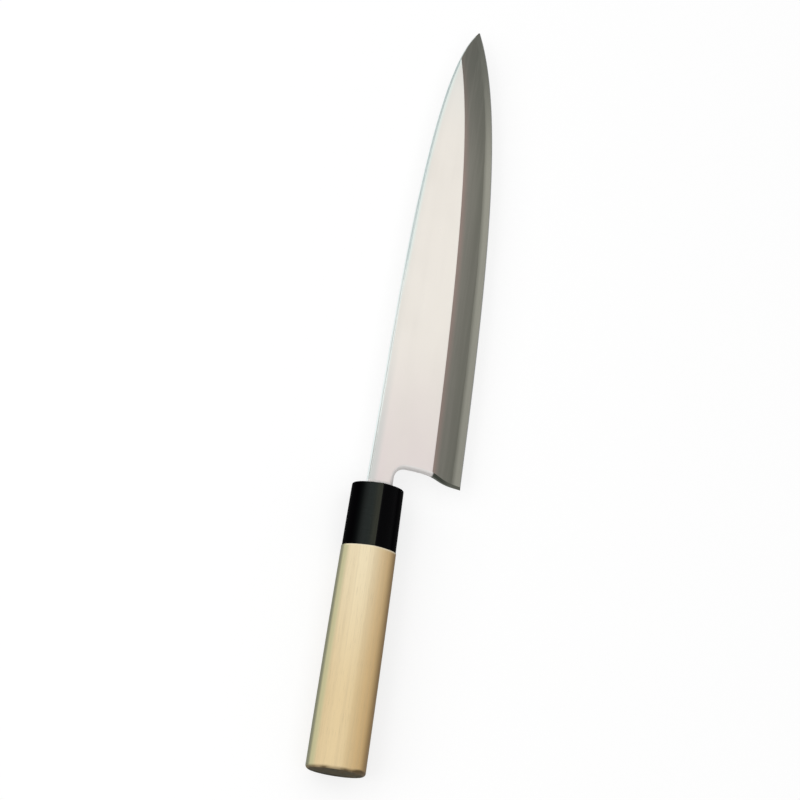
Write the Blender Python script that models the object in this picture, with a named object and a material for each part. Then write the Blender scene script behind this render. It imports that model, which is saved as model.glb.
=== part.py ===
"""Mioroshi deba: a right-handed, single-bevelled Japanese knife with a wooden handle and a horn ferrule.

Lengths are in metres. +X runs from the butt of the handle to the tip, +Y towards the spine and +Z out of
the bevelled face. The origin is the centre of the flat butt end, on the handle's axis.
"""

import math

import bmesh
import bpy

# Handle, whose section is a half ellipse below and two fuller sides above that meet at a ridge
HANDLE_LENGTH = 0.1453
BUTT_WIDTH = 0.0303
FRONT_WIDTH = 0.0268
BUTT_RIDGE = 0.0130
FRONT_RIDGE = 0.0121
BUTT_BELLY = 0.0138
FRONT_BELLY = 0.0106
FERRULE_LENGTH = 0.0323
FERRULE_RIM_RADIUS = 0.0010
FERRULE_STEP = 0.00025
BUTT_RIM_RADIUS = 0.0018
TENON_WALL = 0.0040
SWELL = 0.6
FULLNESS = 0.5

# Blade outline, measured from the ferrule's face and the handle's axis
HEEL_LEAD = 0.0069
BLADE_LENGTH = 0.2379
SPINE_RISE = 0.0061
SPINE_FALL = math.radians(1.3)
SPINE_STRAIGHT = 0.0828
HEEL_DEPTH = 0.0425
TIP_DEPTH = 0.0178
TIP_BLUNT = 0.0006
SPINE_TIP_ANGLE = math.radians(-37.5)
EDGE_HEEL_ANGLE = math.radians(0.84)
EDGE_TIP_ANGLE = math.radians(26.1)
SPINE_PULLS = (0.816, 0.074)
EDGE_PULLS = (0.45, 0.187)

# Neck and choil, the cut-away between the heel and the ferrule
NECK_DEPTH = 0.0070
NOTCH_LEAD = 0.01175
NOTCH_RADIUS = 0.0060
HEEL_FACE_ANGLE = math.radians(2.5)
CHOIL_PULLS = (0.70, 0.56)

# Blade section
HEEL_THICKNESS = 0.0047
TIP_THICKNESS = 0.0023
HEEL_BEVEL = 0.0165
TIP_BEVEL = 0.0140
BEVEL_EASE = 4
EDGE_LAND = 0.00015
SPINE_LAND = 0.0003
HOLLOW_DEPTH = 0.00035
HOLLOW_RIM = 0.0030
HOLLOW_FADE = 0.025
NARROW_RIM_SHARE = 0.25

# Hard steel forged on the back, and the tang
HEEL_STEEL = 0.00155
TIP_STEEL = 0.00065
STEEL_LEAD = 0.0035
SHOULDER_LEAD = 0.0010
SHOULDER_STEP = 0.0004
ROOT_OVERLAP = 0.0020
TANG_LENGTH = 0.095
TANG_END_WIDTH = 0.0060
TANG_END_THICKNESS = 0.0026
SLOT_END_SPACE = 0.0020
SEAL_DEPTH = 0.0030
SEAL_WIDTH = 0.0010

# Clearances
FIT_GAP = 0.0003
WELD_GAP = 0.0002

# Places that follow from the sizes
BLADE_BACK = -HEEL_THICKNESS / 2
HEEL_X = HANDLE_LENGTH + HEEL_LEAD
TIP_X = HEEL_X + BLADE_LENGTH
SHOULDER_X = HANDLE_LENGTH + SHOULDER_LEAD
TENON_FACE_X = HANDLE_LENGTH - FIT_GAP
JOINT_X = HANDLE_LENGTH - FERRULE_LENGTH
TANG_END_X = SHOULDER_X - TANG_LENGTH
NECK_CENTRE = (SPINE_RISE - NECK_DEPTH) / 2
CUTTER_REACH = BLADE_LENGTH + HANDLE_LENGTH

# Mesh fineness
SECTION_POINTS = 72
RIM_STEPS = 4
HANDLE_STEPS = 8
BLADE_STATIONS = 56
STATION_CROWDING = 1.6
HOLLOW_POINTS = 6
ARC_STEPS = 10
CHOIL_STEPS = 12
CURVE_SEARCH_STEPS = 40
SMOOTH_BELOW = math.radians(25)


def between(start, end, share):
    return start + (end - start) * share


def clear_scene():
    for obj in list(bpy.data.objects):
        bpy.data.objects.remove(obj)


def material(name, colour, roughness, metallic):
    made = bpy.data.materials.new(name)
    made.use_nodes = True
    shader = made.node_tree.nodes["Principled BSDF"]
    shader.inputs["Base Color"].default_value = (*colour, 1.0)
    shader.inputs["Roughness"].default_value = roughness
    shader.inputs["Metallic"].default_value = metallic
    made.diffuse_color = (*colour, 1.0)
    return made


def add_object(name, shape, smooth):
    """Turns the bmesh into an object with outward faces, shaded smooth where a round piece curves."""
    bmesh.ops.recalc_face_normals(shape, faces=shape.faces)
    mesh = bpy.data.meshes.new(name)
    shape.to_mesh(mesh)
    shape.free()
    if smooth:
        mesh.shade_smooth()
        mesh.set_sharp_from_angle(angle=SMOOTH_BELOW)
    obj = bpy.data.objects.new(name, mesh)
    bpy.context.scene.collection.objects.link(obj)
    return obj


def add_loft(name, loops, ring=False, smooth=False):
    """Skins equal loops in turn. A ring joins its last loop to its first, and any other loft is capped."""
    shape = bmesh.new()
    rows = [[shape.verts.new(point) for point in loop] for loop in loops]
    pairs = list(zip(rows, rows[1:]))
    if ring:
        pairs.append((rows[-1], rows[0]))
    else:
        shape.faces.new(rows[0])
        shape.faces.new(reversed(rows[-1]))
    for row, following in pairs:
        for i, corner in enumerate(row):
            j = (i + 1) % len(row)
            shape.faces.new((corner, row[j], following[j], following[i]))
    return add_object(name, shape, smooth)


def add_cutter(name, loops):
    cutter = add_loft(name, loops)
    cutter.hide_render = True
    cutter.display_type = "WIRE"
    return cutter


def combine(obj, other, operation):
    modifier = obj.modifiers.new(f"{operation.lower()} {other.name}", "BOOLEAN")
    modifier.operation = operation
    modifier.solver = "EXACT"
    modifier.object = other


def bezier(curve, t):
    weights = ((1 - t) ** 3, 3 * (1 - t) ** 2 * t, 3 * (1 - t) * t**2, t**3)
    return tuple(sum(w * point[axis] for w, point in zip(weights, curve)) for axis in (0, 1))


def pulled_curve(start, start_angle, end, end_angle, pulls):
    """A cubic curve that leaves start and reaches end at these angles, each pull a share of its span."""
    span = math.dist(start, end)
    leave, arrive = (pull * span for pull in pulls)
    first = (start[0] + leave * math.cos(start_angle), start[1] + leave * math.sin(start_angle))
    second = (end[0] - arrive * math.cos(end_angle), end[1] - arrive * math.sin(end_angle))
    return start, first, second, end


def height_on(curve, x):
    """The curve's y at x, found by halving, for a curve that always gains x."""
    low, high = 0.0, 1.0
    for _ in range(CURVE_SEARCH_STEPS):
        middle = (low + high) / 2
        if bezier(curve, middle)[0] < x:
            low = middle
        else:
            high = middle
    return bezier(curve, low)[1]


# Blade outline

SPINE_BREAK_X = HANDLE_LENGTH + SPINE_STRAIGHT
SPINE_CURVE = pulled_curve(
    (SPINE_BREAK_X, SPINE_RISE - SPINE_STRAIGHT * math.tan(SPINE_FALL)),
    -SPINE_FALL,
    (TIP_X, -TIP_DEPTH + TIP_BLUNT / 2),
    SPINE_TIP_ANGLE,
    SPINE_PULLS,
)
EDGE_CURVE = pulled_curve(
    (HEEL_X, -HEEL_DEPTH),
    EDGE_HEEL_ANGLE,
    (TIP_X, -TIP_DEPTH - TIP_BLUNT / 2),
    EDGE_TIP_ANGLE,
    EDGE_PULLS,
)


def spine_y(x):
    if x < SPINE_BREAK_X:
        return SPINE_RISE - (x - HANDLE_LENGTH) * math.tan(SPINE_FALL)
    return height_on(SPINE_CURVE, x)


def edge_y(x):
    if x < HEEL_X:
        return -HEEL_DEPTH - (HEEL_X - x) * math.tan(EDGE_HEEL_ANGLE)
    return height_on(EDGE_CURVE, x)


def along_blade(x):
    """0 at the heel and 1 at the tip."""
    return (x - HEEL_X) / BLADE_LENGTH


def blade_thickness(x):
    return between(HEEL_THICKNESS, TIP_THICKNESS, along_blade(x))


def steel_thickness(x):
    return between(HEEL_STEEL, TIP_STEEL, along_blade(x))


def bevel_width(x):
    """Keeps its width from the heel on, and narrows late towards the tip."""
    return between(HEEL_BEVEL, TIP_BEVEL, max(along_blade(x), 0.0) ** BEVEL_EASE)


def hollow_depth(x, height):
    """Full in the middle of the blade, and fading to nothing behind the choil and near the tip."""
    from_choil = (x - HANDLE_LENGTH - NOTCH_LEAD - HOLLOW_RIM) / HOLLOW_FADE
    from_tip = (height - HOLLOW_RIM / NARROW_RIM_SHARE) / HOLLOW_FADE
    fade = min(max(min(from_choil, from_tip), 0.0), 1.0)
    return HOLLOW_DEPTH * steel_thickness(x) / HEEL_STEEL * math.sin(fade * math.pi / 2) ** 2


def blade_section(x):
    """The whole blade's outline across X, from the spine's back corner round by the bevel to the back."""
    spine, edge = spine_y(x), edge_y(x)
    ridge = min(edge + bevel_width(x), spine - SPINE_LAND)
    rise = (ridge - edge) / bevel_width(x)
    top = BLADE_BACK + between(EDGE_LAND, blade_thickness(x), rise)
    rim = min(HOLLOW_RIM, (spine - edge) * NARROW_RIM_SHARE)
    depth = hollow_depth(x, spine - edge)
    points = [(x, spine, BLADE_BACK), (x, spine, top), (x, ridge, top)]
    points += [(x, edge, BLADE_BACK + EDGE_LAND), (x, edge, BLADE_BACK)]
    for i in range(HOLLOW_POINTS + 1):
        share = i / HOLLOW_POINTS
        y = between(edge + rim, spine - rim, share)
        points.append((x, y, BLADE_BACK + depth * math.sin(share * math.pi) ** 2))
    return points


def add_billet(name):
    """The full blade in one thickness, which the iron and the steel share between them."""
    loops = []
    for i in range(BLADE_STATIONS + 1):
        share = 1 - (1 - i / BLADE_STATIONS) ** STATION_CROWDING
        loops.append(blade_section(between(SHOULDER_X, TIP_X, share)))
    return add_loft(name, loops)


# Cuts that shape the blade

def choil_outline():
    """Under the neck, round the notch, and down the heel's end face past the edge."""
    centre = (HANDLE_LENGTH + NOTCH_LEAD - NOTCH_RADIUS, -NECK_DEPTH - NOTCH_RADIUS)
    outline = [(HANDLE_LENGTH - CUTTER_REACH, -NECK_DEPTH)]
    for i in range(ARC_STEPS + 1):
        angle = between(math.pi / 2, 0, i / ARC_STEPS)
        across = NOTCH_RADIUS * math.cos(angle)
        outline.append((centre[0] + across, centre[1] + NOTCH_RADIUS * math.sin(angle)))
    heel = (HEEL_X, -HEEL_DEPTH)
    down = -math.pi / 2
    curve = pulled_curve(outline[-1], down, heel, down - HEEL_FACE_ANGLE, CHOIL_PULLS)
    outline += [bezier(curve, i / CHOIL_STEPS) for i in range(1, CHOIL_STEPS + 1)]
    below = -HEEL_DEPTH - CUTTER_REACH
    outline.append((HEEL_X - CUTTER_REACH * math.tan(HEEL_FACE_ANGLE), below))
    outline.append((HANDLE_LENGTH - CUTTER_REACH, below))
    return outline


def add_choil_cutter():
    outline = choil_outline()
    levels = (-CUTTER_REACH, CUTTER_REACH)
    return add_cutter("choil_cutter", [[(x, y, z) for x, y in outline] for z in levels])


def add_steel_bed(name, gap):
    """All that lies below the weld plane, from the neck on, larger than the steel by the gap."""
    start = HANDLE_LENGTH + STEEL_LEAD - gap
    loops = []
    for x in (start, TIP_X + CUTTER_REACH):
        weld = BLADE_BACK + steel_thickness(x) + gap
        floor = BLADE_BACK - CUTTER_REACH
        sides = (-CUTTER_REACH, CUTTER_REACH)
        loops.append([(x, sides[0], floor), (x, sides[1], floor), (x, sides[1], weld), (x, sides[0], weld)])
    return add_cutter(name, loops)


# Tang, and what is made to its size

def tang_loop(x, clearance):
    share = (SHOULDER_X - x) / TANG_LENGTH
    root_width = SPINE_RISE + NECK_DEPTH - 2 * SHOULDER_STEP
    half_width = between(root_width, TANG_END_WIDTH, share) / 2 + clearance
    half_depth = between(HEEL_THICKNESS - 2 * SHOULDER_STEP, TANG_END_THICKNESS, share) / 2 + clearance
    corners = ((-1, -1), (1, -1), (1, 1), (-1, 1))
    return [(x, NECK_CENTRE + y * half_width, z * half_depth) for y, z in corners]


def add_tang_bar(name, start, end, clearance):
    return add_cutter(name, [tang_loop(x, clearance) for x in (start, end)])


# Handle

def handle_section(x, inset):
    share = x / HANDLE_LENGTH
    swollen = between(share, share**2, SWELL)
    half_width = between(BUTT_WIDTH, FRONT_WIDTH, swollen) / 2 - inset
    ridge = between(BUTT_RIDGE, FRONT_RIDGE, swollen) - inset
    belly = between(BUTT_BELLY, FRONT_BELLY, swollen) - inset
    loop = []
    for i in range(SECTION_POINTS):
        angle = 2 * math.pi * i / SECTION_POINTS
        across = math.cos(angle)
        if i <= SECTION_POINTS // 2:
            height = ridge * math.sqrt(max(1 - between(abs(across), across**2, FULLNESS), 0.0))
        else:
            height = belly * math.sin(angle)
        loop.append((x, half_width * across, height))
    return loop


def rounded_rim(end_x, inward, radius):
    """(x, inset) of a quarter round that starts on the end face; inward is +1 or -1 along X."""
    steps = []
    for i in range(RIM_STEPS + 1):
        angle = math.pi / 2 * i / RIM_STEPS
        steps.append((end_x + inward * radius * (1 - math.cos(angle)), radius * (1 - math.sin(angle))))
    return steps


def tenon_inset():
    """How far the ferrule's bore lies inside its outline: the tenon keeps its wall round the tang."""
    tang_reach = max(SPINE_RISE, NECK_DEPTH) - SHOULDER_STEP
    return FRONT_WIDTH / 2 - tang_reach - TENON_WALL


def even_steps(start, end):
    return [between(start, end, i / HANDLE_STEPS) for i in range(HANDLE_STEPS + 1)]


# The pieces

def add_blade_iron(choil_cutter):
    iron = add_billet("blade_iron")
    combine(iron, add_tang_bar("tang", TANG_END_X, SHOULDER_X + ROOT_OVERLAP, 0.0), "UNION")
    combine(iron, choil_cutter, "DIFFERENCE")
    combine(iron, add_steel_bed("iron_seat_cutter", WELD_GAP), "DIFFERENCE")
    iron.data.materials.append(material("soft iron, satin", (0.78, 0.76, 0.73), 0.35, 1.0))
    return iron


def add_edge_steel(choil_cutter):
    steel = add_billet("edge_steel")
    combine(steel, choil_cutter, "DIFFERENCE")
    combine(steel, add_steel_bed("steel_layer_limit", 0.0), "INTERSECT")
    steel.data.materials.append(material("hard steel, polished", (0.45, 0.46, 0.44), 0.25, 1.0))
    return steel


def add_horn_ferrule():
    bore = tenon_inset()
    straight = even_steps(JOINT_X, HANDLE_LENGTH - FERRULE_RIM_RADIUS)
    outer = [handle_section(x, FERRULE_STEP) for x in straight]
    rounded = rounded_rim(HANDLE_LENGTH, -1, FERRULE_RIM_RADIUS)
    rim = [handle_section(x, FERRULE_STEP + inset) for x, inset in rounded]
    inner = [handle_section(x, bore) for x in reversed(even_steps(JOINT_X, HANDLE_LENGTH))]
    ferrule = add_loft("horn_ferrule", outer[:-1] + rim[::-1] + inner, ring=True, smooth=True)
    ferrule.data.materials.append(material("buffalo horn, polished", (0.012, 0.011, 0.012), 0.2, 0.0))
    return ferrule


def add_wood_grip():
    tenon = tenon_inset() + FIT_GAP
    shoulder = JOINT_X - FIT_GAP
    rim = [handle_section(x, inset) for x, inset in rounded_rim(0.0, 1, BUTT_RIM_RADIUS)]
    outer = [handle_section(x, 0.0) for x in even_steps(BUTT_RIM_RADIUS, shoulder)]
    inner = [handle_section(x, tenon) for x in even_steps(shoulder, TENON_FACE_X)]
    grip = add_loft("wood_grip", rim[:-1] + outer + inner, smooth=True)
    past_face = TENON_FACE_X + SEAL_DEPTH
    slot = add_tang_bar("tang_slot_cutter", TANG_END_X - SLOT_END_SPACE, past_face, FIT_GAP)
    mouth_clearance = SEAL_WIDTH + 2 * FIT_GAP
    mouth = add_tang_bar("slot_mouth_cutter", TENON_FACE_X - SEAL_DEPTH, past_face, mouth_clearance)
    combine(grip, slot, "DIFFERENCE")
    combine(grip, mouth, "DIFFERENCE")
    grip.data.materials.append(material("magnolia wood", (0.78, 0.65, 0.42), 0.6, 0.0))
    return grip


def add_tang_seal():
    back = TENON_FACE_X - SEAL_DEPTH + FIT_GAP
    seal = add_loft("tang_seal", [tang_loop(x, SEAL_WIDTH + FIT_GAP) for x in (back, TENON_FACE_X)])
    bore = add_tang_bar("seal_bore_cutter", back - SEAL_DEPTH, TENON_FACE_X + SEAL_DEPTH, FIT_GAP)
    combine(seal, bore, "DIFFERENCE")
    seal.data.materials.append(material("pine resin", (0.10, 0.055, 0.02), 0.45, 0.0))
    return seal


def main():
    clear_scene()
    choil_cutter = add_choil_cutter()
    add_blade_iron(choil_cutter)
    add_edge_steel(choil_cutter)
    add_horn_ferrule()
    add_wood_grip()
    add_tang_seal()


main()
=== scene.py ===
"""Mioroshi deba knife: the fine meshes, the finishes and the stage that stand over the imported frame.

The file is laid out as an add-on and is run as a script. Lengths are in metres, in the frame of the CAD:
+X runs from the butt to the tip, +Y towards the spine and +Z out of the bevelled face.
"""

import math

import bmesh
import bpy
from bpy.props import FloatProperty, FloatVectorProperty, PointerProperty
from mathutils import Matrix, Vector, noise


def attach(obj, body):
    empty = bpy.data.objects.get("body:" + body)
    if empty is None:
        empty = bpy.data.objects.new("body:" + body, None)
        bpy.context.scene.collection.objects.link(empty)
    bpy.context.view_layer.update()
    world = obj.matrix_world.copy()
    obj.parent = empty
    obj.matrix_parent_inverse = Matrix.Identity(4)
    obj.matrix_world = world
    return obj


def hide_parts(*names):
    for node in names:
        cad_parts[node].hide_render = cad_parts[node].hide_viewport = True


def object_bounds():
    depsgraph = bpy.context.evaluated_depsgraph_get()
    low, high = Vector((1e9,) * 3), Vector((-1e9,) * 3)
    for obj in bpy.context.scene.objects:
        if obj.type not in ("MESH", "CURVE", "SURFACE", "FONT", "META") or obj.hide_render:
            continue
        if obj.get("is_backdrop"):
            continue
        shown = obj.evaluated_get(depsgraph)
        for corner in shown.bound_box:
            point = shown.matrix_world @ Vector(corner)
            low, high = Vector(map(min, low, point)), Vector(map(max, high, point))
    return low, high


bl_info = {
    "name": "Mioroshi deba knife",
    "version": (1, 0, 0),
    "blender": (4, 5, 0),
    "location": "3D View > Sidebar > Knife",
    "description": "Builds the blade, the handle and the stage of a single-bevelled Japanese knife",
    "category": "Object",
}

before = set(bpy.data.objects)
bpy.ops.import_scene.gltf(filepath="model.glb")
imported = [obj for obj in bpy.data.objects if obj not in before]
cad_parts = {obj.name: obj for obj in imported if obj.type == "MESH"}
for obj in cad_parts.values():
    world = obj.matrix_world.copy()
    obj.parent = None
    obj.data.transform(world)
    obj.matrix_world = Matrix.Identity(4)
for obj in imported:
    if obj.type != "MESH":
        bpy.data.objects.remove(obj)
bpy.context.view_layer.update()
BODY = "root"


# Small sums

def between(start, end, share):
    return start + (end - start) * share


def held(value, low=0.0, high=1.0):
    return min(max(value, low), high)


def ease(share):
    """Goes from 0 to 1 and leaves and arrives level."""
    share = held(share)
    return share * share * (3 - 2 * share)


def round_drop(distance, radius):
    """How far a rounded edge has fallen at this distance inside it."""
    if radius <= 0 or distance >= radius:
        return 0.0
    short = radius - max(distance, 0.0)
    return radius - math.sqrt(max(radius**2 - short**2, 0.0))


def softly_lower(first, second, softness):
    """The lower of two heights, with the corner between them rounded."""
    overlap = max(softness - abs(first - second), 0.0)
    return min(first, second) - overlap**2 / (4 * softness)


def bezier(curve, t):
    weights = ((1 - t) ** 3, 3 * (1 - t) ** 2 * t, 3 * (1 - t) * t**2, t**3)
    return tuple(sum(w * point[axis] for w, point in zip(weights, curve)) for axis in (0, 1))


def pulled_curve(start, start_angle, end, end_angle, pulls):
    """A cubic curve that leaves start and reaches end at these angles, each pull a share of its span."""
    span = math.dist(start, end)
    leave, arrive = (pull * span for pull in pulls)
    first = (start[0] + leave * math.cos(start_angle), start[1] + leave * math.sin(start_angle))
    second = (end[0] - arrive * math.cos(end_angle), end[1] - arrive * math.sin(end_angle))
    return start, first, second, end


def last_place(low, high, holds):
    """The last place between low and high where something that ends once still holds, found by halving."""
    for _ in range(HALVINGS):
        middle = (low + high) / 2
        if holds(middle):
            low = middle
        else:
            high = middle
    return low


def on_curve(curve, axis, value):
    """The point where a curve that always moves one way along an axis passes a value on it."""
    rising = curve[3][axis] > curve[0][axis]
    return bezier(curve, last_place(0.0, 1.0, lambda t: (bezier(curve, t)[axis] < value) == rising))


def stops(start, end, near_start, inner_shares, near_end):
    """Places from start to end: close ones by both ends, and inner ones by their shares."""
    fit = min(1.0, CLOSE_ROOM * (end - start) / (near_start[-1] + near_end[0]))
    first = [start + gap * fit for gap in near_start]
    last = [end - gap * fit for gap in near_end]
    return first + [between(first[-1], last[0], share) for share in inner_shares] + last


def even_shares(count):
    return [i / (count + 1) for i in range(1, count + 1)]


# Settings

def number(name, description, default, **kind):
    return FloatProperty(name=name, description=description, default=default, **kind)


def length(name, description, default):
    return number(name, description, default, min=0.0, unit="LENGTH", subtype="DISTANCE", precision=5)


def angle(name, description, degrees):
    return number(name, description, math.radians(degrees), unit="ROTATION", subtype="ANGLE")


def part_of_one(name, description, default):
    return number(name, description, default, min=0.0, max=1.0, subtype="FACTOR")


def colour(name, description, default):
    return FloatVectorProperty(
        name=name, description=description, default=default, size=3, min=0.0, max=1.0, subtype="COLOR"
    )


class HandleSizes(bpy.types.PropertyGroup):
    """Sizes of the wooden grip and the horn ferrule"""

    length: length("Length", "From the butt to the ferrule's face", 0.1453)
    butt_width: length("Butt width", "Across the butt end", 0.0303)
    front_width: length("Front width", "Across the ferrule's face", 0.0268)
    butt_ridge: length("Butt ridge", "From the axis up to the ridge at the butt", 0.0130)
    front_ridge: length("Front ridge", "From the axis up to the ridge at the ferrule's face", 0.0121)
    butt_belly: length("Butt belly", "From the axis down to the round side at the butt", 0.0138)
    front_belly: length("Front belly", "From the axis down to the round side at the front", 0.0106)
    swell: part_of_one("Swell", "How much of the taper comes late, near the front", 0.6)
    fullness: part_of_one("Fullness", "How full the two upper sides are", 0.5)
    ridge_round: part_of_one("Ridge round", "Rounding of the ridge, as a share of the half width", 0.05)
    ferrule_length: length("Ferrule length", "Length of the horn", 0.0323)
    ferrule_step: length("Ferrule step", "How far the horn lies below the wood's surface", 0.00025)
    ferrule_rim: length("Ferrule rim", "Radius round the ferrule's face", 0.0010)
    joint_rim: length("Joint rim", "Radius of the eased edges where the horn meets the wood", 0.00018)
    butt_rim: length("Butt rim", "Radius round the butt end", 0.0018)
    tenon_wall: length("Tenon wall", "Least wood round the tang inside the ferrule", 0.0040)
    seal_depth: length("Seal depth", "Depth of the resin in the slot's mouth", 0.0030)
    seal_width: length("Seal width", "Width of the resin round the tang", 0.0010)


class BladeSizes(bpy.types.PropertyGroup):
    """Sizes of the blade, measured from the ferrule's face and the handle's axis"""

    heel_lead: length("Heel lead", "From the ferrule's face to the heel corner", 0.0069)
    length: length("Length", "Edge length along X, heel to tip", 0.2379)
    spine_rise: length("Spine rise", "Height of the spine at the ferrule", 0.0061)
    spine_fall: angle("Spine fall", "Slope of the straight part of the spine", 1.3)
    spine_straight: length("Straight spine", "How far the spine runs straight", 0.0828)
    heel_depth: length("Heel depth", "From the axis down to the heel corner", 0.0425)
    tip_depth: length("Tip depth", "From the axis down to the tip", 0.0178)
    neck_depth: length("Neck depth", "From the axis down to the neck's lower side", 0.0070)
    notch_lead: length("Notch lead", "From the ferrule's face to the front of the notch", 0.01175)
    notch_radius: length("Notch radius", "Radius in the corner of the notch", 0.0060)
    heel_thickness: length("Heel thickness", "Thickness of the spine at the heel", 0.0047)
    tip_thickness: length("Tip thickness", "Thickness of the spine at the tip", 0.0023)
    heel_bevel: length("Heel bevel", "Width of the bevel at the heel", 0.0165)
    tip_bevel: length("Tip bevel", "Width of the bevel at the tip", 0.0140)
    honed_width: length("Honed width", "Width of the small honed facet along the edge", 0.0004)
    spine_round: length("Spine round", "Radius of the spine's front corner", 0.0009)
    back_round: length("Back round", "Radius of the corners on the back", 0.00025)
    choil_round: length("Choil round", "Radius round the notch and under the neck", 0.0016)
    heel_steel: length("Heel steel", "Thickness of the hard steel at the heel", 0.00155)
    tip_steel: length("Tip steel", "Thickness of the hard steel at the tip", 0.00065)
    hollow_depth: length("Hollow depth", "Depth of the hollow ground into the back", 0.00035)
    hollow_rim: length("Hollow rim", "Width of the flat rim round the hollow", 0.0030)
    tang_length: length("Tang length", "From the shoulder to the tang's end", 0.095)
    tang_end_width: length("Tang end width", "Width of the tang at its end", 0.0060)
    tang_end_thickness: length("Tang end thickness", "Thickness of the tang at its end", 0.0026)


class KnifeColours(bpy.types.PropertyGroup):
    """Colours of the finishes"""

    flat: colour("Flat", "Polished iron above the bevel", (0.855, 0.812, 0.748))
    flat_tip: colour("Flat by the tip", "Polished iron near the tip", (0.785, 0.775, 0.735))
    flat_cool: colour("Cool flat", "Cooler line under the curved spine", (0.77, 0.84, 0.80))
    neck: colour("Neck", "Iron by the neck, where the polish ends", (0.75, 0.68, 0.66))
    spine: colour("Spine band", "Cooler band under the spine", (0.57, 0.60, 0.58))
    spine_face: colour("Spine face", "Bright narrow face along the spine", (0.84, 0.92, 0.91))
    spine_corner: colour("Spine corner", "Eased corner along the spine, towards the tip", (0.52, 0.60, 0.59))
    middle_corner: colour("Middle corner", "Eased corner along the middle of the spine", (0.66, 0.70, 0.675))
    neck_corner: colour("Neck corner", "Eased corner along the spine, by the neck", (0.51, 0.53, 0.51))
    choil: colour("Choil", "Filed faces round the notch", (0.83, 0.80, 0.78))
    heel_face: colour("Heel face", "Filed end of the heel under the bevel", (0.07, 0.078, 0.062))
    bevel: colour("Bevel", "Misty iron of the bevel", (0.33, 0.32, 0.28))
    bevel_ridge: colour("Bevel ridge", "Warmer haze just under the ridge", (0.475, 0.365, 0.325))
    bevel_weld: colour("Bevel weld", "Darkest part of the bevel, by the weld", (0.25, 0.25, 0.21))
    bevel_tip: colour("Bevel tip", "Misty iron near the tip", (0.168, 0.173, 0.150))
    hard: colour("Hard steel", "Polished hard steel along the edge", (0.515, 0.51, 0.435))
    back: colour("Back", "Flat rim of the back", (0.74, 0.74, 0.72))
    hollow: colour("Hollow", "Ground hollow of the back", (0.52, 0.52, 0.51))
    horn: colour("Horn", "Black horn", (0.0010, 0.0008, 0.0012))
    # Painted reflection: the horn's sheen on the spine side of the ridge, put in its colour; the next colour
    # is its brightest part, beside the ridge.
    horn_sheen: colour("Pale horn", "Paler horn on the spine side", (0.0180, 0.0240, 0.0215))
    horn_ridge_sheen: colour("Horn by the ridge", "Palest horn, beside the ridge", (0.0380, 0.0400, 0.0300))
    wood: colour("Wood", "Pale magnolia wood by the ferrule", (0.88, 0.75, 0.50))
    wood_butt: colour("Wood by the butt", "Deeper tone of the wood near the butt", (0.80, 0.625, 0.355))
    wood_brown: colour("Wood brown", "Browner wood on the edge side", (0.83, 0.52, 0.20))
    # Greenish heartwood tone, also darker than the wood as painted shade where the spine side turns down.
    wood_green_and_shade: colour("Wood green", "Greenish heartwood on the spine side", (0.56, 0.575, 0.33))
    # Painted shade low on the spine side, where the handle turns away from the light.
    wood_shade: colour("Wood shade", "Wood darkened by the hand low on the spine side", (0.11, 0.16, 0.115))
    # Painted shade low on the edge side, where the handle turns away from the light.
    wood_edge_shade: colour("Wood dark", "Wood darkened by the hand low on the edge side", (0.22, 0.13, 0.045))
    wood_streak: colour("Wood streak", "Darker grain of the wood", (0.60, 0.46, 0.27))
    # Painted highlight along the eased edge of the wood by the ferrule.
    wood_rim_highlight: colour("Wood rim", "Freshly eased edge by the ferrule", (0.86, 0.76, 0.55))
    # The end grain's own darker tone, deepened by painted shade over the whole butt; the next colour is more
    # painted shade, low on the butt.
    end_grain: colour("End grain", "Wood across the grain, at the butt", (0.066, 0.056, 0.030))
    butt_shade: colour("Butt shade", "End grain darkened low on the butt", (0.014, 0.015, 0.008))
    # Dark brown: painted shade round the butt's rim, and dark patches on the end grain and in the slot.
    grime_and_shade: colour("Grime", "Dark handling marks on the butt's rim", (0.13, 0.084, 0.034))
    resin: colour("Resin", "Pine resin round the tang", (0.085, 0.042, 0.014))
    scorch: colour("Scorch", "Wood burnt by the hot tang", (0.020, 0.013, 0.008))
    scale_dark: colour("Dark scale", "Forge scale on the tang", (0.09, 0.08, 0.075))
    scale_pale: colour("Pale scale", "Iron where the scale has come off", (0.26, 0.22, 0.19))
    honed_grey: colour("Honed grey", "Darker marks on the honed facet", (0.62, 0.62, 0.60))
    honed_pale: colour("Honed pale", "Bright steel of the honed facet", (0.80, 0.80, 0.78))


class StageSettings(bpy.types.PropertyGroup):
    """Floor, light and camera"""

    floor: colour("Floor", "Pale paper floor", (0.45, 0.45, 0.45))
    floor_glow: part_of_one("Floor glow", "How much of the floor's look is its own even white", 0.30)
    floor_white: number("Floor white", "Strength of the floor's white", 2.4, min=0.0)
    surround: number("Surround", "Level of the light all round", 0.40, min=0.0)
    lamp_width: length("Lamp width", "Width of the soft lamp overhead", 3.0)
    lamp_depth: length("Lamp depth", "Depth of the soft lamp overhead", 2.4)
    lamp_height: length("Lamp height", "Height of the soft lamp", 1.6)
    lamp_power: number("Lamp power", "Power of the soft lamp", 14.6, min=0.0, unit="POWER")
    side_power: number("Side power", "Power of the lamp on the spine side", 20.0, min=0.0, unit="POWER")
    camera_distance: length("Camera distance", "From the camera to the point that it looks at", 2.2)
    camera_lens: number("Lens", "Focal length", 197.37, min=1.0, unit="CAMERA")


# Mesh fineness and small clearances that the panel doesn't show

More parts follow.
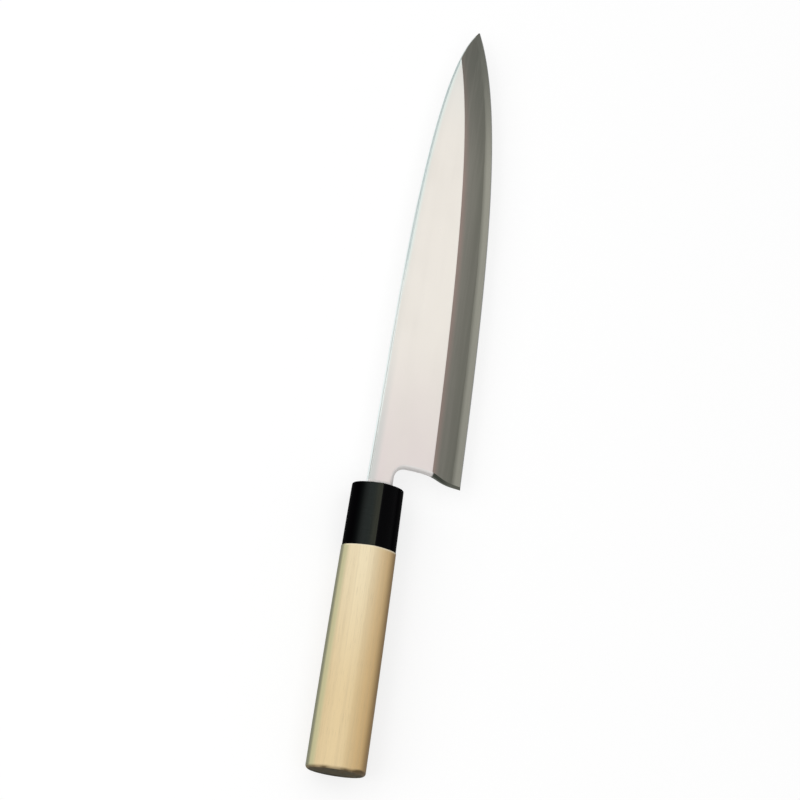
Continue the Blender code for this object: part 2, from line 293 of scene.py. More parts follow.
HALVINGS = 32
CLOSE_ROOM = 0.6
ROUND_STOPS = (0.0, 0.02, 0.12, 0.33, 0.62, 1.0)
CORNER_ROWS = len(ROUND_STOPS) - 1
STEEL_ROWS = 4
IRON_ROWS = 6
CHOIL_ROWS = 33
SHOULDER_ROWS = 7
BLEND_COLUMNS = 16
BODY_COLUMNS = 120
TIP_COLUMNS = 10
BACK_RIM_ROWS = 4
COLUMN_CROWDING = 1.6
SMOOTH_BELOW = math.radians(25)
FILM = 0.000005
PIECE_GAP = 0.00005
TANG_POINTS = 48
TANG_STEPS = 12
TANG_LAP = 0.0010
TANG_SQUARENESS = 9
SHOULDER_STEP = 0.0004
SECTION_POINTS = 160
HANDLE_STEPS = 28
TENON_STEPS = 8
RIM_STEPS = 6
BUTT_CAP = (0.06, 0.3, 0.55, 0.78, 0.93)
BORE_RIM = 0.00025
FIT_GAP = 0.0003
SLOT_END_SPACE = 0.0020
SEAL_POINTS = 96


# Meshes

def add_object(name, shape, materials):
    """Turns the bmesh into an object in the scene."""
    mesh = bpy.data.meshes.new(name)
    shape.to_mesh(mesh)
    shape.free()
    for material in materials:
        mesh.materials.append(material)
    return link_object(name, mesh)


def link_object(name, data):
    made = bpy.data.objects.new(name, data)
    bpy.context.scene.collection.objects.link(made)
    return made


def add_piece(name, shape, materials, node):
    """Adds a shaded object that rides on the body in place of its CAD node."""
    bmesh.ops.recalc_face_normals(shape, faces=shape.faces)
    for face in shape.faces:
        face.smooth = True
    for edge in shape.edges:
        if edge.calc_face_angle(0.0) > SMOOTH_BELOW:
            edge.smooth = False
    piece = add_object(name, shape, materials)
    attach(piece, BODY)
    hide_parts(node)


def paint(bands, index):
    """Gives the faces of these bands the material of this number."""
    for band in bands:
        for face in band:
            face.material_index = index


def skin(shape, loops, ring=False):
    """Joins equal loops in turn and returns the faces between them, pair by pair."""
    rows = [[shape.verts.new(point) for point in loop] for loop in loops]
    pairs = list(zip(rows, rows[1:]))
    if ring:
        pairs.append((rows[-1], rows[0]))
    else:
        shape.faces.new(rows[0])
        shape.faces.new(reversed(rows[-1]))
    bands = []
    for row, following in pairs:
        band = []
        for i, corner in enumerate(row):
            j = (i + 1) % len(row)
            band.append(shape.faces.new((corner, row[j], following[j], following[i])))
        bands.append(band)
    return bands


def skin_sheet(shape, top, bottom):
    """Joins two equal grids of points into one closed skin.

    Returns the faces of the top and of the bottom row by row, of the first end and of the far side.
    """
    upper = [[shape.verts.new(point) for point in column] for column in top]
    lower = [[shape.verts.new(point) for point in column] for column in bottom]
    columns, rows = range(len(upper) - 1), range(len(upper[0]) - 1)
    top_rows = [[] for _ in rows]
    bottom_rows = [[] for _ in rows]
    for i in columns:
        for j in rows:
            corners = ((i, j), (i + 1, j), (i + 1, j + 1), (i, j + 1))
            top_rows[j].append(shape.faces.new([upper[a][b] for a, b in corners]))
            bottom_rows[j].append(shape.faces.new([lower[a][b] for a, b in reversed(corners)]))
    sides = {0: [], -1: []}
    for i in columns:
        for j, side in sides.items():
            side.append(shape.faces.new((upper[i][j], lower[i][j], lower[i + 1][j], upper[i + 1][j])))
    ends = {0: [], -1: []}
    for i, end in ends.items():
        for j in rows:
            end.append(shape.faces.new((upper[i][j], upper[i][j + 1], lower[i][j + 1], lower[i][j])))
    return top_rows, bottom_rows, ends[0], sides[-1]


# The blade's shape

class BladeForm:
    """The outline and the surfaces of the blade, and the rows and columns that its meshes follow."""

    SPINE_TIP_ANGLE = math.radians(-37.5)
    EDGE_HEEL_ANGLE = math.radians(0.84)
    EDGE_TIP_ANGLE = math.radians(26.1)
    SPINE_PULLS = (0.816, 0.074)
    EDGE_PULLS = (0.45, 0.187)
    HEEL_FACE_ANGLE = math.radians(2.5)
    CHOIL_PULLS = (0.70, 0.56)
    TIP_BLUNT = 0.0006
    BEVEL_EASE = 4
    EDGE_LAND = 0.00015
    HONED_LAND = 0.00002
    SPINE_LAND = 0.0003
    MOST_STEEL_SHARE = 0.93
    LEAST_STEEL_SHARE = 0.05
    LEAST_IRON_SHARE = 0.12
    LEAST_IRON = 0.0003
    RIDGE_SOFTNESS = 0.00015
    HOLLOW_FADE = 0.025
    HOLLOW_POWER = 2.5
    NARROW_RIM_SHARE = 0.25
    STEEL_LEAD = 0.0030
    STEEL_SCARF = 0.0025
    SHOULDER_LEAD = 0.0010
    STRAIGHT_FROM = 0.0340
    WAVES = ((0.00007, 46.0, 0.3), (0.00003, 150.0, 7.1))
    ROUNDING_SHARE = 0.35
    CORNER_SHARE = 0.3
    BACK_PARTING = 0.02
    KNOT_BELOW_NOTCH = 0.0012
    KNOTS_ABOVE_NECK = (0.0018, 0.0052)
    FALL_POWERS = (2, 4, 12)
    FALL_PLACES = (0.45, 0.80, 0.97)
    EDGE_CLOSE = (0.0, 0.00013, 0.00027, 0.00040, 0.00065)
    WELD_CLOSE = (0.00040, 0.00015, 0.0)
    WELD_CLOSE_ABOVE = (0.00015, 0.00040)
    RIDGE_CLOSE = (0.00030, 0.00012, 0.0)
    RIDGE_CLOSE_ABOVE = (0.00012, 0.00030)
    RIM_CLOSE_OUTSIDE = (0.0, 0.0003)
    RIM_CLOSE = (0.00030, 0.00010, 0.0)
    RIM_CLOSE_INSIDE = (0.0001, 0.0003)
    HONED_ROW = 3
    HEEL_PASSES = 4

    def __init__(self, sizes, handle_length):
        self.size = sizes
        self.front_x = handle_length
        self.back = -sizes.heel_thickness / 2
        self.heel_x = handle_length + sizes.heel_lead
        self.tip_x = self.heel_x + sizes.length
        self.shoulder_x = handle_length + self.SHOULDER_LEAD
        self.straight_x = handle_length + self.STRAIGHT_FROM
        self.spine_break = handle_length + sizes.spine_straight
        self.spine_curve = pulled_curve(
            (self.spine_break, sizes.spine_rise - sizes.spine_straight * math.tan(sizes.spine_fall)),
            -sizes.spine_fall,
            (self.tip_x, -sizes.tip_depth + self.TIP_BLUNT / 2),
            self.SPINE_TIP_ANGLE,
            self.SPINE_PULLS,
        )
        self.edge_curve = pulled_curve(
            (self.heel_x, -sizes.heel_depth),
            self.EDGE_HEEL_ANGLE,
            (self.tip_x, -sizes.tip_depth - self.TIP_BLUNT / 2),
            self.EDGE_TIP_ANGLE,
            self.EDGE_PULLS,
        )
        self.notch_centre = (
            handle_length + sizes.notch_lead - sizes.notch_radius,
            -sizes.neck_depth - sizes.notch_radius,
        )
        self.heel_face = pulled_curve(
            (self.notch_centre[0] + sizes.notch_radius, self.notch_centre[1]),
            -math.pi / 2,
            (self.heel_x, -sizes.heel_depth),
            -math.pi / 2 - self.HEEL_FACE_ANGLE,
            self.CHOIL_PULLS,
        )
        self.weld_row = len(self.EDGE_CLOSE) + STEEL_ROWS + len(self.WELD_CLOSE) - 1
        self.ridge_row = self.weld_row + len(self.WELD_CLOSE_ABOVE) + IRON_ROWS + len(self.RIDGE_CLOSE)
        self.flat_shares = self.flat_row_shares()

    def straight_spine(self, x):
        return self.size.spine_rise - (x - self.front_x) * math.tan(self.size.spine_fall)

    def spine(self, x):
        if x < self.spine_break:
            return self.straight_spine(x)
        return on_curve(self.spine_curve, 0, x)[1]

    def spine_fall_weights(self):
        """Weights of three powers of the way to the tip; their sum is the fall below the straight line."""
        places = [between(self.spine_break, self.tip_x, place) for place in self.FALL_PLACES]
        falls = [self.straight_spine(x) - self.spine(x) for x in places]
        powers = Matrix([[place**power for power in self.FALL_POWERS] for place in self.FALL_PLACES])
        return powers.inverted() @ Vector(falls)

    def edge(self, x):
        if x < self.heel_x:
            return -self.size.heel_depth - (self.heel_x - x) * math.tan(self.EDGE_HEEL_ANGLE)
        return on_curve(self.edge_curve, 0, x)[1]

    def along(self, x):
        """0 at the heel and 1 at the tip."""
        return (x - self.heel_x) / self.size.length

    def thickness(self, x):
        return between(self.size.heel_thickness, self.size.tip_thickness, self.along(x))

    def steel_thickness(self, x):
        return between(self.size.heel_steel, self.size.tip_steel, self.along(x))

    def bevel_width(self, x):
        """Keeps its width from the heel on, and narrows late towards the tip."""
        return between(self.size.heel_bevel, self.size.tip_bevel, max(self.along(x), 0.0) ** self.BEVEL_EASE)

    def weld(self, x):
        """Height of the forge weld, a little wavy, and run out in a scarf under the neck."""
        started = ease((x - self.front_x - self.STEEL_LEAD) / self.STEEL_SCARF)
        wave = sum(height * noise.noise(Vector((x * rate, seed, 0.0))) for height, rate, seed in self.WAVES)
        return self.back + max((self.steel_thickness(x) + wave) * started, 2 * FILM)

    def weld_line(self, x):
        """How far above the edge the weld comes out on the bevel."""
        rise = (self.weld(x) - self.back - self.EDGE_LAND) / (self.thickness(x) - self.EDGE_LAND)
        return max(rise, self.LEAST_STEEL_SHARE) * self.bevel_width(x)

    def front(self, x, y, edge):
        """Height of the front before its rims are rounded: flat, bevel and honed facet."""
        flat = self.back + self.thickness(x)
        slope = (self.thickness(x) - self.EDGE_LAND) / self.bevel_width(x)
        bevel = self.back + self.EDGE_LAND + slope * (y - edge)
        height = softly_lower(flat, bevel, slope * self.RIDGE_SOFTNESS)
        honed = (y - edge) / self.size.honed_width
        if honed < 1:
            corner = self.EDGE_LAND + slope * self.size.honed_width
            height = self.back + between(self.HONED_LAND, corner, max(honed, 0.0))
        return height

    def rim_width(self, spine, edge):
        return min(self.size.hollow_rim, (spine - edge) * self.NARROW_RIM_SHARE)

    def hollow(self, x, y, spine, edge):
        """Depth of the hollow in the back, which fades out behind the choil and near the tip."""
        rim = self.rim_width(spine, edge)
        across = held((y - edge - rim) / (spine - edge - 2 * rim))
        profile = 1 - abs(2 * across - 1) ** self.HOLLOW_POWER
        from_choil = x - self.front_x - self.size.notch_lead - self.size.hollow_rim
        from_tip = spine - edge - self.size.hollow_rim / self.NARROW_RIM_SHARE
        fade = math.sin(held(min(from_choil, from_tip) / self.HOLLOW_FADE) * math.pi / 2) ** 2
        return self.size.hollow_depth * self.steel_thickness(x) / self.size.heel_steel * profile * fade

    # Rows run along the blade, from the edge up to the spine

    def rows(self, x):
        edge, spine = self.edge(x), self.spine(x)
        height = spine - edge
        weld_line = edge + min(self.weld_line(x), self.MOST_STEEL_SHARE * height)
        ridge = edge + min(self.bevel_width(x), height - self.SPINE_LAND)
        ridge = max(ridge, between(weld_line, spine, self.LEAST_IRON_SHARE))
        spine_close = [step * self.size.spine_round for step in reversed(ROUND_STOPS)]
        found = stops(edge, weld_line, self.EDGE_CLOSE, even_shares(STEEL_ROWS), self.WELD_CLOSE)
        found += stops(weld_line, ridge, self.WELD_CLOSE_ABOVE, even_shares(IRON_ROWS), self.RIDGE_CLOSE)
        return found + stops(ridge, spine, self.RIDGE_CLOSE_ABOVE, self.flat_shares, spine_close)

    def back_rows(self, x):
        """As many rows as the front has, placed for the rim and the hollow of the back."""
        edge, spine = self.edge(x), self.spine(x)
        rim = self.rim_width(spine, edge)
        corner = [step * self.size.back_round for step in reversed(ROUND_STOPS)]
        below = stops(edge, edge + rim, self.RIM_CLOSE_OUTSIDE, even_shares(BACK_RIM_ROWS), self.RIM_CLOSE)
        above = stops(spine - rim, spine, self.RIM_CLOSE_INSIDE, even_shares(BACK_RIM_ROWS), corner)
        close_rows = len(self.RIM_CLOSE_INSIDE) + len(self.RIM_CLOSE)
        inner = even_shares(len(self.rows(x)) - len(below) - len(above) - close_rows)
        return below + stops(edge + rim, spine - rim, self.RIM_CLOSE_INSIDE, inner, self.RIM_CLOSE) + above

    def flat_row_shares(self):
        """Shares of the flat's height for its rows, so that they fan out from the neck without crossing."""
        x = self.straight_x
        low = self.edge(x) + self.bevel_width(x) + self.RIDGE_CLOSE_ABOVE[-1]
        high = self.spine(x) - self.size.spine_round
        heights = []
        knots = [low, self.notch_centre[1] - self.KNOT_BELOW_NOTCH]
        knots += [-self.size.neck_depth + gap for gap in self.KNOTS_ABOVE_NECK]
        for start, end, count in zip(knots, knots[1:], self.choil_row_counts()):
            heights += [between(start, end, i / count) for i in range(1, count + 1)]
        start = heights[-1]
        heights += [between(start, high, share) for share in even_shares(SHOULDER_ROWS)]
        return [(height - low) / (high - low) for height in heights]

    def choil_row_counts(self):
        """How the rows that start on the choil are dealt out to heel face, notch and neck."""
        ridge_y = self.edge(self.heel_x) + self.bevel_width(self.heel_x)
        lengths = (
            self.notch_centre[1] - ridge_y,
            self.size.notch_radius * math.pi / 2,
            self.notch_centre[0] - self.shoulder_x,
        )
        face = round(CHOIL_ROWS * lengths[0] / sum(lengths))
        neck = round(CHOIL_ROWS * lengths[2] / sum(lengths))
        return face, CHOIL_ROWS - face - neck, neck

    # Columns run across the blade, the first of them round the choil

    def row_start(self, row):
        """Where a bevel row meets the heel's end face."""
        x = self.heel_x
        for _ in range(self.HEEL_PASSES):
            x = on_curve(self.heel_face, 1, self.rows(x)[row])[0]
        return x

    def choil_starts(self):
        """(point, way in, rounded or not) for each row above the ridge, from heel face to spine."""
        radius = self.size.notch_radius
        ridge_x = self.row_start(self.ridge_row)
        ridge_y = self.rows(ridge_x)[self.ridge_row]
        face, arc, neck = self.choil_row_counts()
        starts = []
        heights = [ridge_y + gap for gap in self.RIDGE_CLOSE_ABOVE]
        heights += [between(heights[-1], self.notch_centre[1], i / face) for i in range(1, face + 1)]
        for y in heights:
            starts.append(((on_curve(self.heel_face, 1, y)[0], y), (1.0, 0.0), True))
        for i in range(1, arc + 1):
            turn = math.pi / 2 * i / arc
            way = (math.cos(turn), math.sin(turn))
            point = tuple(c + radius * w for c, w in zip(self.notch_centre, way))
            starts.append((point, way, True))
        for i in range(1, neck + 1):
            x = between(self.notch_centre[0], self.shoulder_x, i / neck)
            starts.append(((x, -self.size.neck_depth), (0.0, 1.0), True))
        corner = starts.pop()
        starts.append((corner[0], (1.0, 1.0), True))
        top_row = self.rows(self.shoulder_x)
        upper = len(ROUND_STOPS)
        low, high = -self.size.neck_depth, top_row[-upper]
        for share in even_shares(SHOULDER_ROWS):
            starts.append(((self.shoulder_x, between(low, high, share)), (1.0, 0.0), False))
        for y in top_row[-upper:]:
            starts.append(((self.shoulder_x, y), (1.0, 0.0), False))
        return starts

    def plan(self):
        """Columns of (x, y, distance from the choil, rounding there), from the choil to the tip."""
        round_by = self.size.choil_round
        bevel_starts = [self.row_start(row) for row in range(self.ridge_row + 1)]
        choil_starts = self.choil_starts()
        columns = []
        for step in ROUND_STOPS:
            inward = step * round_by
            column = []
            for row, x in enumerate(bevel_starts):
                y = self.rows(x + inward)[row]
                column.append((x + inward, y, inward, self.rounding(x, y)))
            for (x, y), way, rounded in choil_starts:
                place = (x + way[0] * inward, y + way[1] * inward)
                radius = self.rounding(x, y) if rounded else 0.0
                column.append((*place, inward, radius))
            upper = len(ROUND_STOPS)
            spine_rows = self.rows(self.shoulder_x + inward)[-upper:]
            for k, y in enumerate(spine_rows):
                column[k - upper] = (self.shoulder_x + inward, y, inward, 0.0)
            columns.append(column)
        columns += self.blended_columns(columns[-1])
        for x in self.stations():
            columns.append([(x, y, round_by, 0.0) for y in self.rows(x)])
        return columns

    def blended_columns(self, first):
        """Columns that go over from the choil's outline to straight ones."""
        columns = []
        upper = len(first) - len(ROUND_STOPS)
        for i in range(1, BLEND_COLUMNS):
            share = i / BLEND_COLUMNS
            column = []
            for row, (start_x, start_y, inward, _) in enumerate(first):
                x = between(start_x, self.straight_x, share)
                y = self.rows(x)[row]
                if self.ridge_row < row < upper:
                    y = between(start_y, y, share)
                column.append((x, y, inward, 0.0))
            columns.append(column)
        return columns

    def stations(self):
        """The straight columns, with one where the iron runs out, just behind the tip."""
        end = self.iron_end()
        body = [1 - (1 - i / BODY_COLUMNS) ** COLUMN_CROWDING for i in range(BODY_COLUMNS + 1)]
        tip = [i / TIP_COLUMNS for i in range(1, TIP_COLUMNS + 1)]
        return [between(self.straight_x, end, s) for s in body] + [between(end, self.tip_x, s) for s in tip]

    def iron_end(self):
        """Where the blade is hardly higher than its steel."""

        def has_iron(x):
            return self.spine(x) - self.edge(x) > self.weld_line(x) + self.LEAST_IRON

        return last_place(self.straight_x, self.tip_x, has_iron)

    def rounding(self, x, y):
        return min(self.size.choil_round, self.ROUNDING_SHARE * (self.front(x, y, self.edge(x)) - self.back))

    def heights(self, x, y, inward, radius):
        """Heights of the front and the back at a place, with their rims rounded."""
        spine, edge = self.spine(x), self.edge(x)
        face = self.front(x, y, edge)
        room = self.CORNER_SHARE * (face - self.back)
        front = face - round_drop(spine - y, min(self.size.spine_round, room))
        front -= round_drop(inward, radius)
        back = self.back + self.hollow(x, y, spine, edge)
        back += round_drop(spine - y, min(self.size.back_round, room))
        back += round_drop(inward, min(radius, self.size.back_round))
        return front, back

    def iron_place(self, x, y, inward, radius):
        front, back = self.heights(x, y, inward, radius)
        low = max(self.weld(x) + FILM, back + 2 * FILM)
        return (x, y, max(front, low + FILM)), (x, y, low)

    def steel_top(self, x, y, inward, radius):
        front, back = self.heights(x, y, inward, radius)
        return (x, y, max(min(front, self.weld(x)), back + FILM))

    def steel_bottom(self, x, y, inward, radius):
        return (x, y, self.heights(x, y, inward, radius)[1])

    def back_column(self, column):
        """The column's places for the back, whose rows part from the front's along the straight blade."""
        x = column[0][0]
        parted = ease((x - self.straight_x) / self.BACK_PARTING) if column[-1][0] == x else 0.0
        if parted == 0:
            return column
        own = self.back_rows(x)
        return [(x, between(y, own[row], parted), *rest) for row, (_, y, *rest) in enumerate(column)]


def tang_loop(handle, blade, x, clearance, count=TANG_POINTS):
    """The tang's section at x, a rectangle with eased corners, grown by a clearance."""
    shoulder_x = handle.length + BladeForm.SHOULDER_LEAD
    share = (shoulder_x - x) / blade.tang_length
    root_width = blade.spine_rise + blade.neck_depth - 2 * SHOULDER_STEP
    root_thickness = blade.heel_thickness - 2 * SHOULDER_STEP
    half_width = between(root_width, blade.tang_end_width, share) / 2 + clearance
    half_depth = between(root_thickness, blade.tang_end_thickness, share) / 2 + clearance
    centre = (blade.spine_rise - blade.neck_depth) / 2
    power = TANG_SQUARENESS
    loop = []
    for i in range(count):
        turn = 2 * math.pi * i / count
        across, up = math.cos(turn), math.sin(turn)
        reach = (abs(across / half_width) ** power + abs(up / half_depth) ** power) ** (-1 / power)
        loop.append((x, centre + across * reach, up * reach))
    return loop


# The handle's shape

def handle_section(handle, x, inset=0.0):
    """Half an ellipse below and two full sides above, which meet at a rounded ridge."""
    along = x / handle.length
    swollen = between(along, along**2, handle.swell)
    half_width = between(handle.butt_width, handle.front_width, swollen) / 2 - inset
    ridge = between(handle.butt_ridge, handle.front_ridge, swollen) - inset
    belly = between(handle.butt_belly, handle.front_belly, swollen) - inset
    loop = []
    for i in range(SECTION_POINTS):
        turn = 2 * math.pi * i / SECTION_POINTS
        across = math.cos(turn)
        if i <= SECTION_POINTS // 2:
            soft = math.hypot(across, handle.ridge_round) - handle.ridge_round
            soft /= math.hypot(1.0, handle.ridge_round) - handle.ridge_round
            height = ridge * math.sqrt(max(1 - between(soft, across**2, handle.fullness), 0.0))
        else:
            height = belly * math.sin(turn)
        loop.append((x, half_width * across, height))
    return loop


def rim_round(handle, end_x, inward, radius, inset=0.0):
    """Loops of a quarter round that starts on an end face; inward is +1 or -1 along X."""
    loops = []
    for i in range(RIM_STEPS + 1):
        turn = math.pi / 2 * i / RIM_STEPS
        x = end_x + inward * radius * (1 - math.cos(turn))
        loops.append(handle_section(handle, x, inset + radius * (1 - math.sin(turn))))
    return loops


def straight_run(handle, start, end, inset, steps=HANDLE_STEPS):
    return [handle_section(handle, between(start, end, i / steps), inset) for i in range(steps + 1)]


def shrunk(loop, factor, x):
    return [(x, y * factor, z * factor) for _, y, z in loop]


def tenon_inset(handle, blade):
    tang_reach = max(blade.spine_rise, blade.neck_depth) - SHOULDER_STEP
    return handle.front_width / 2 - tang_reach - handle.tenon_wall


# Shader maths

class Signal:
    """One output of a shader node; sums with it add Math nodes to the finish."""

    def __init__(self, finish, socket):
        self.finish = finish
        self.socket = socket

    def maths(self, operation, first, second):
        return self.finish.node("ShaderNodeMath", {"operation": operation}, {0: first, 1: second})

    def __add__(self, other):
        return self.maths("ADD", self, other)

    def __radd__(self, other):
        return self.maths("ADD", other, self)

    def __sub__(self, other):
        return self.maths("SUBTRACT", self, other)

    def __rsub__(self, other):
        return self.maths("SUBTRACT", other, self)

    def __mul__(self, other):
        return self.maths("MULTIPLY", self, other)

    def __rmul__(self, other):
        return self.maths("MULTIPLY", other, self)

    def __truediv__(self, other):
        return self.maths("DIVIDE", self, other)


class Finish:
    """A node material while it is being built."""

    def __init__(self, name):
        self.material = bpy.data.materials.new(name)
        self.material.use_nodes = True
        self.tree = self.material.node_tree
        self.shader = self.tree.nodes["Principled BSDF"]

    def node(self, kind, settings=None, inputs=None, output=0):
        """Adds a node: its settings are set first, then its sockets get values or links."""
        made = self.tree.nodes.new(kind)
        for name, value in (settings or {}).items():
            setattr(made, name, value)
        for key, value in (inputs or {}).items():
            self.put(made.inputs[key], value)
        return Signal(self, made.outputs[output])

    def put(self, socket, value):
        if isinstance(value, Signal):
            self.tree.links.new(value.socket, socket)
        else:
            socket.default_value = value

    def surface(self, **values):
        """Sets or links sockets of the shader, with underscores for spaces, and returns the material."""
        for name, value in values.items():
            self.put(self.shader.inputs[name.replace("_", " ")], value)
        return self.material

    def plain(self):
        return Signal(self, self.shader.outputs[0])

    def mix(self, factor, first, second):
        """Mixes two shaders."""
        return self.node("ShaderNodeMixShader", inputs={0: factor, 1: first, 2: second})

    def end_in(self, shader):
        """Puts a mixed shader in the place of the plain one and returns the material."""
        self.put(self.tree.nodes["Material Output"].inputs["Surface"], shader)
        return self.material

    def blend(self, factor, first, second):
        """Mixes two colours."""
        inputs = {0: factor, 6: self.colour(first), 7: self.colour(second)}
        return self.node("ShaderNodeMix", {"data_type": "RGBA"}, inputs, 2)

    def colour(self, value):
        return value if isinstance(value, Signal) else (*value, 1.0)

    def ramp(self, value, low, high, start=0.0, end=1.0):
        """Goes smoothly from start to end as the value goes from low to high."""
        settings = {"interpolation_type": "SMOOTHSTEP"}
        inputs = {"Value": value, "From Min": low, "From Max": high, "To Min": start, "To Max": end}
        return self.node("ShaderNodeMapRange", settings, inputs)

    def over(self, base, laid, value, low, high, most=1.0):
        """Lays a colour over a base, more and more as the value goes from low to high."""
        return self.blend(self.ramp(value, low, high, 0.0, most), base, laid)

    def place(self):
        return self.node("ShaderNodeTexCoord", output="Object")

    def axis(self, name):
        return self.node("ShaderNodeSeparateXYZ", inputs={0: self.place()}, output=name)

    def grain(self, rates, seed, detail=3.0, roughness=0.55, distortion=0.0):
        """Noise with its own rate, in turns per metre, along each axis."""
        inputs = {"Vector": self.place(), "Location": (seed, seed * 0.37, seed * 0.71), "Scale": rates}
        spread = self.node("ShaderNodeMapping", inputs=inputs)
        inputs = {"Vector": spread, "Scale": 1.0, "Detail": detail, "Roughness": roughness}
        inputs["Distortion"] = distortion
        return self.node("ShaderNodeTexNoise", inputs=inputs)

    def relief(self, height, distance):
        return self.node("ShaderNodeBump", inputs={"Strength": 1.0, "Height": height, "Distance": distance})


# Finishes

def scaled(colour, factor):
    return [factor * part for part in colour]


def towards_tip(finish, form, x, start, end=1.0):
    """Goes from 0 to 1 between two shares of the blade's length."""
    return finish.ramp(x, between(form.heel_x, form.tip_x, start), between(form.heel_x, form.tip_x, end))


def bevel_rise(finish, form):
    """0 on the back at the edge and 1 where the bevel reaches the flat."""
    slope = (form.size.tip_thickness - form.size.heel_thickness) / form.size.length
    thickness = slope * finish.axis("X") + (form.size.heel_thickness - slope * form.heel_x)
    return (finish.axis("Z") - form.back) / thickness


def below_spine(finish, form):
    """How far a place lies below the spine."""
    slope = -math.tan(form.size.spine_fall)
    level = form.size.spine_rise - slope * form.front_x
    past = (finish.axis("X") - form.spine_break) / (form.tip_x - form.spine_break)
    past = past.maths("MAXIMUM", past, 0.0)
    square = past * past
    fourth = square * square
    weights = form.spine_fall_weights()
    fallen = weights[0] * square + weights[1] * fourth + weights[2] * (fourth * fourth * fourth)
    return slope * finish.axis("X") + level - fallen - finish.axis("Y")


def flat_polish(colours, form):
    """Iron flat: a bright, slightly hazy polish with fine marks along the blade."""
    finish = Finish("iron, polished flat")
    broad = finish.grain((9, 120, 120), 3.1)
    fine = finish.grain((35, 2600, 2600), 8.4, detail=4)
    cloud = finish.grain((28, 40, 40), 5.7)
    x = finish.axis("X")
    from_neck = finish.ramp(x, form.front_x + 0.002, form.front_x + 0.092)
    to_tip = towards_tip(finish, form, x, 0.72, 0.94)
    base = finish.blend(from_neck, colours.neck, colours.flat)
    base = finish.blend(0.9 * to_tip, base, colours.flat_tip)
    base = finish.over(base, scaled(colours.flat, 0.90), broad, 0.35, 0.75, 0.30)
    below = below_spine(finish, form)
    by_spine = finish.ramp(below + 0.0012 * cloud, 0.0058, 0.0020)
    base = finish.blend(by_spine * (0.72 - 0.60 * from_neck), base, colours.spine)
    past_middle = finish.ramp(x, form.front_x + 0.090, form.front_x + 0.125, 0.0, 0.9)
    under_curve = finish.ramp(below + 0.0010 * cloud, 0.0032, 0.0014) * past_middle
    return finish.surface(
        Base_Color=finish.blend(under_curve, base, colours.flat_cool),
        Metallic=1.0,
        Roughness=0.24 + 0.12 * fine + finish.ramp(cloud, 0.4, 0.7, 0.0, 0.06),
        Normal=finish.relief(fine + 0.5 * broad, 0.000002),
    )


def eased_corner(colours, form):
    """The eased corner along the spine: cooler and a little darker than the flat."""
    finish = Finish("iron, eased spine")
    mark = finish.grain((30, 900, 900), 7.2, detail=4)
    cloud = finish.grain((60, 60, 60), 2.8)
    from_neck = finish.ramp(finish.axis("X"), form.front_x + 0.018, form.front_x + 0.045)
    past_middle = finish.ramp(finish.axis("X"), form.front_x + 0.103, form.front_x + 0.123)
    base = finish.blend(from_neck, colours.neck_corner, colours.middle_corner)
    base = finish.blend(past_middle, base, colours.spine_corner)
    return finish.surface(
        Base_Color=finish.over(base, colours.spine, cloud, 0.3, 0.7, 0.4),
        Metallic=1.0,
        Roughness=0.40 + 0.12 * mark,
        Normal=finish.relief(mark, 0.000002),
    )


def spine_face(name, colours):
    """The narrow face along the spine: bright and cool, with fine marks along it."""
    finish = Finish(name)
    mark = finish.grain((30, 900, 900), 4.8, detail=4)
    cloud = finish.grain((50, 200, 200), 6.9)
    return finish.surface(
        Base_Color=finish.over(colours.spine_face, colours.spine_corner, cloud, 0.35, 0.7, 0.4),
        Metallic=1.0,
        Roughness=0.22 + 0.12 * mark,
        Normal=finish.relief(mark, 0.000002),
    )


def misty_bevel(colours, form):
    """Iron of the bevel: a matt stone finish, lighter by the ridge, with soft clouds along the blade."""
    finish = Finish("iron, misty bevel")
    cloud = finish.grain((38, 170, 170), 1.9, detail=4)
    streak = finish.grain((14, 700, 700), 6.2, detail=4)
    scratch = finish.grain((260, 3800, 3800), 4.4, detail=2)
    rise = bevel_rise(finish, form)
    base = finish.over(colours.bevel_weld, colours.bevel, rise, 0.30, 0.95)
    base = finish.over(base, colours.bevel_ridge, rise, 0.77, 0.99, 0.95)
    to_tip = towards_tip(finish, form, finish.axis("X"), 0.66)
    base = finish.blend(0.85 * to_tip, base, colours.bevel_tip)
    base = finish.over(base, scaled(colours.bevel, 0.75), cloud, 0.35, 0.7, 0.22)
    return finish.surface(
        Base_Color=finish.over(base, scaled(colours.bevel, 1.3), streak, 0.42, 0.72, 0.16),
        Metallic=1.0,
        Roughness=0.42 + 0.12 * cloud + 0.06 * streak,
        Normal=finish.relief(streak + 0.6 * scratch, 0.0000025),
    )


def hard_polish(colours, form):
    """Hard steel on the bevel: as misty as the iron by the weld, and brighter towards the edge."""
    finish = Finish("hard steel, bevel")
    streak = finish.grain((18, 1300, 1300), 9.3, detail=4)
    scratch = finish.grain((300, 4200, 4200), 2.2, detail=2)
    cloud = finish.grain((70, 260, 260), 7.7, detail=4)
    rise = bevel_rise(finish, form) + 0.04 * cloud
    base = finish.over(colours.bevel_weld, colours.hard, rise, 0.40, 0.21)
    to_tip = towards_tip(finish, form, finish.axis("X"), 0.66)
    base = finish.blend(0.9 * to_tip, base, colours.bevel_tip)
    return finish.surface(
        Base_Color=finish.over(base, scaled(colours.hard, 0.8), streak, 0.4, 0.7, 0.16),
        Metallic=1.0,
        Roughness=0.36 + 0.08 * streak + 0.06 * cloud,
        Normal=finish.relief(streak + 0.5 * scratch, 0.000002),
    )


